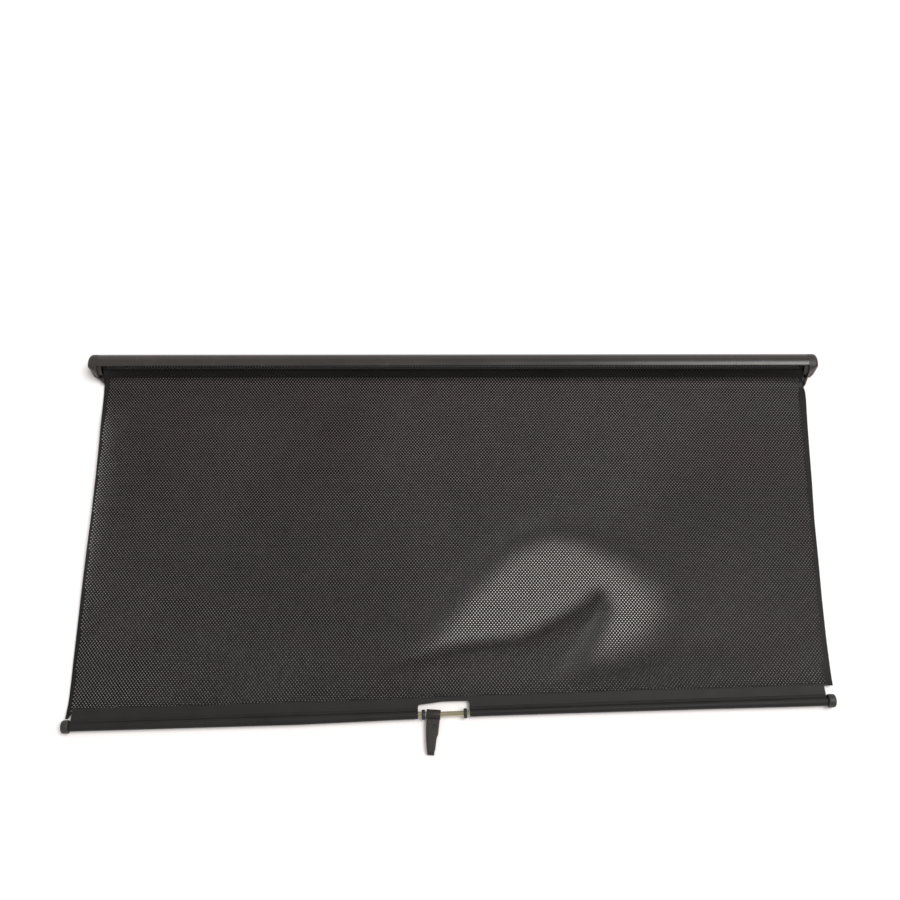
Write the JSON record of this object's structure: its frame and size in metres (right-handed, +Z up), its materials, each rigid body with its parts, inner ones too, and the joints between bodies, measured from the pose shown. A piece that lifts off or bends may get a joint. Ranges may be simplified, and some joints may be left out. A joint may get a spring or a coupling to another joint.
{
  "type": "roller sunshade",
  "caption": "Spring roller sunshade for a car side window: a slotted tube housing, a perforated film drawn out to a skewed hem band, and a pull rod with a hooked tab.",
  "frame": {"origin": "On the flat underside of the housing, below the roller's axis and midway between the end caps.", "axes": "+X along the housing towards the right cap, +Y from the hem towards the housing, +Z up from the surface the shade lies on."},
  "size_m": [0.5016, 0.27, 0.0156],
  "materials": {
    "housing": "semi-gloss dark brown-black coating",
    "cap": "fine moulded plastic",
    "film": "matte perforated film",
    "hem": "matte welded strip",
    "rod": "yellow zinc plate",
    "ring": "black rubber",
    "tab": "moulded plastic",
    "tube": "mill finish",
    "bush": "natural acetal",
    "steel": "plain steel"
  },
  "bodies": {
    "cassette": {"cassette_housing": "housing", "end_cap_left": "cap", "end_cap_right": "cap", "spring_spindle": "steel", "spindle_collar": "bush", "collar_pin": "steel", "torsion_spring": "steel", "idler_pin": "steel", "shade_film": "film"},
    "roller": {"roller_tube": "tube", "roller_bush_left": "bush", "roller_bush_right": "bush", "film_on_roller": "film"},
    "pull_bar": {"hem_band": "hem"},
    "rod": {"pull_rod": "rod", "rod_knob_left": "cap", "rod_knob_right": "cap", "stop_ring_left": "ring", "stop_ring_right": "ring"},
    "tab": {"pull_tab": "tab"}
  },
  "joints": [
    {"name": "bar_draw", "type": "slide", "parent": "cassette", "child": "pull_bar", "axis": [0, 1, 0], "range_m": [0, 0.205], "deforming": ["shade_film"]},
    {"name": "roller_spin", "type": "hinge", "parent": "cassette", "child": "roller", "pos_m": [0, 0, 0.0076], "axis": [1, 0, 0], "range_deg": [-2000, 5], "deforming": ["torsion_spring"]},
    {"name": "rod_turn", "type": "hinge", "parent": "pull_bar", "child": "rod", "pos_m": [0.0006, -0.2371, 0.004], "axis": [-0.9992, -0.04, 0], "range_deg": [0, 150]},
    {"name": "tab_slide", "type": "slide", "parent": "rod", "child": "tab", "axis": [0.9992, 0.04, 0], "range_m": [0, 0.0132]}
  ],
  "couplings": [
    {"joint": "roller_spin", "follows": "bar_draw", "rad_per_m": -165}
  ]
}
